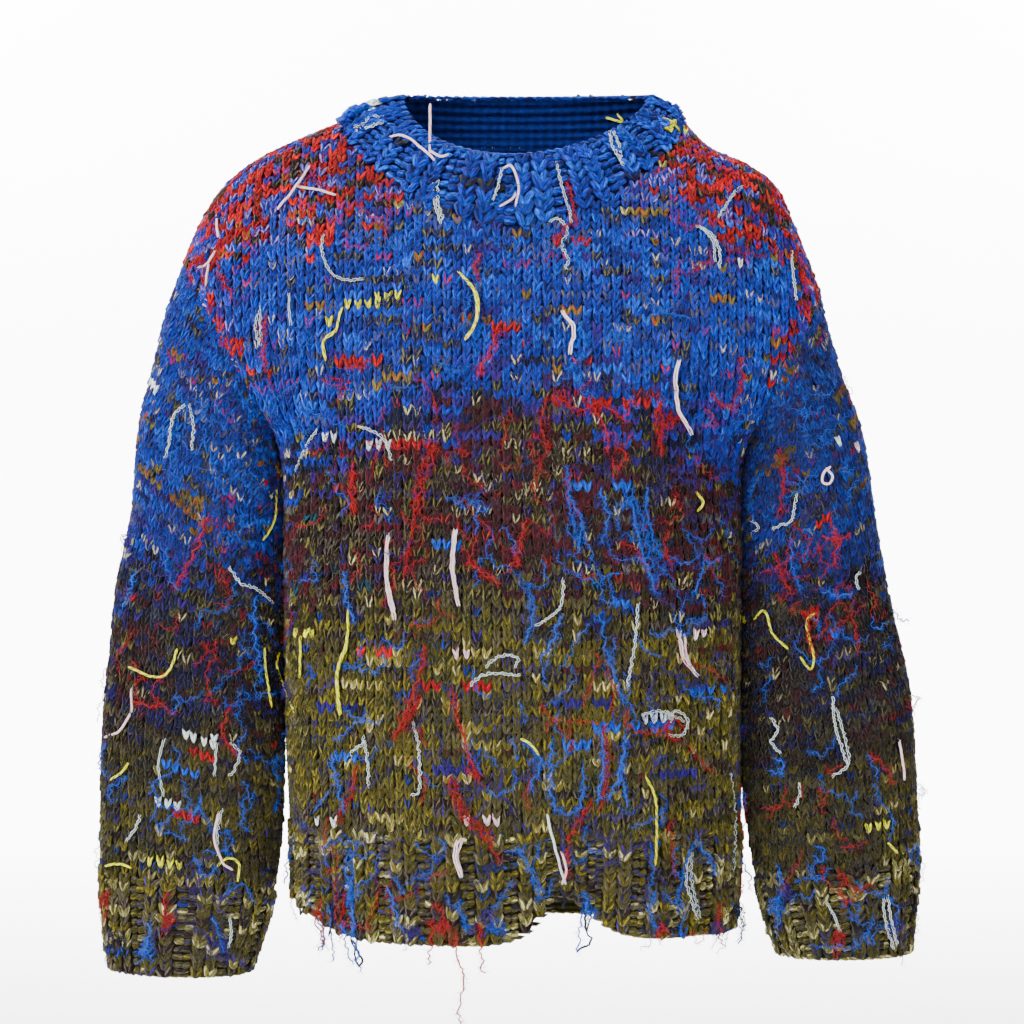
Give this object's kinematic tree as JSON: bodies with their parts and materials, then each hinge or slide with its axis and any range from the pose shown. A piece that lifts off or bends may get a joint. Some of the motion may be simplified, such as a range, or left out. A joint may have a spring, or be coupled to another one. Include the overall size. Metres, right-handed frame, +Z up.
{
  "type": "darned wool sweater",
  "caption": "A bulky hand-knitted wool pullover in blended stripes, with darned rows whose yarn ends hang loose, kept hollow in its worn form.",
  "frame": {"origin": "the middle of the neck at shoulder level, where the wearer's shoulders hold the sweater up", "axes": "+Z up out of the neck, the front faces -Y, +X to the right as seen from the front"},
  "size_m": [0.7151, 0.2428, 0.8328],
  "materials": {
    "body_wool": "thick wool in stocking stitch, blended from royal blue through dark maroon to olive with flecks",
    "sleeve_wool": "the same thick wool in stocking stitch",
    "rib_wool": "olive wool with dark flecks in a 2 by 2 rib",
    "neck_wool": "royal blue wool in a chunky rib",
    "yellow_yarn": "smooth yellow yarn",
    "pink_yarn": "smooth pale pink yarn",
    "white_yarn": "looped white and pale aqua yarn",
    "red_yarn": "hairy red mohair yarn",
    "blue_yarn": "hairy bright blue mohair yarn"
  },
  "bodies": {
    "root": {"front": "body_wool", "back": "body_wool", "sleeve_left": "sleeve_wool", "sleeve_right": "sleeve_wool", "hem_rib_front": "rib_wool", "hem_rib_back": "rib_wool", "cuff_left": "rib_wool", "cuff_right": "rib_wool", "neckband": "neck_wool", "ends_yellow_chest": "yellow_yarn", "ends_white_shoulder": "white_yarn", "ends_red_chest": "red_yarn", "ends_red_middle": "red_yarn", "ends_pink_middle": "pink_yarn", "ends_blue_middle": "blue_yarn", "ends_yellow_waist": "yellow_yarn", "ends_red_waist": "red_yarn", "ends_blue_waist": "blue_yarn", "ends_hem_front": "red_yarn", "ends_hem_corner": "blue_yarn", "ends_red_back": "red_yarn", "ends_blue_back": "blue_yarn", "ends_white_back": "white_yarn", "ends_sleeve_left": "white_yarn", "ends_sleeve_right": "red_yarn"}
  },
  "joints": []
}
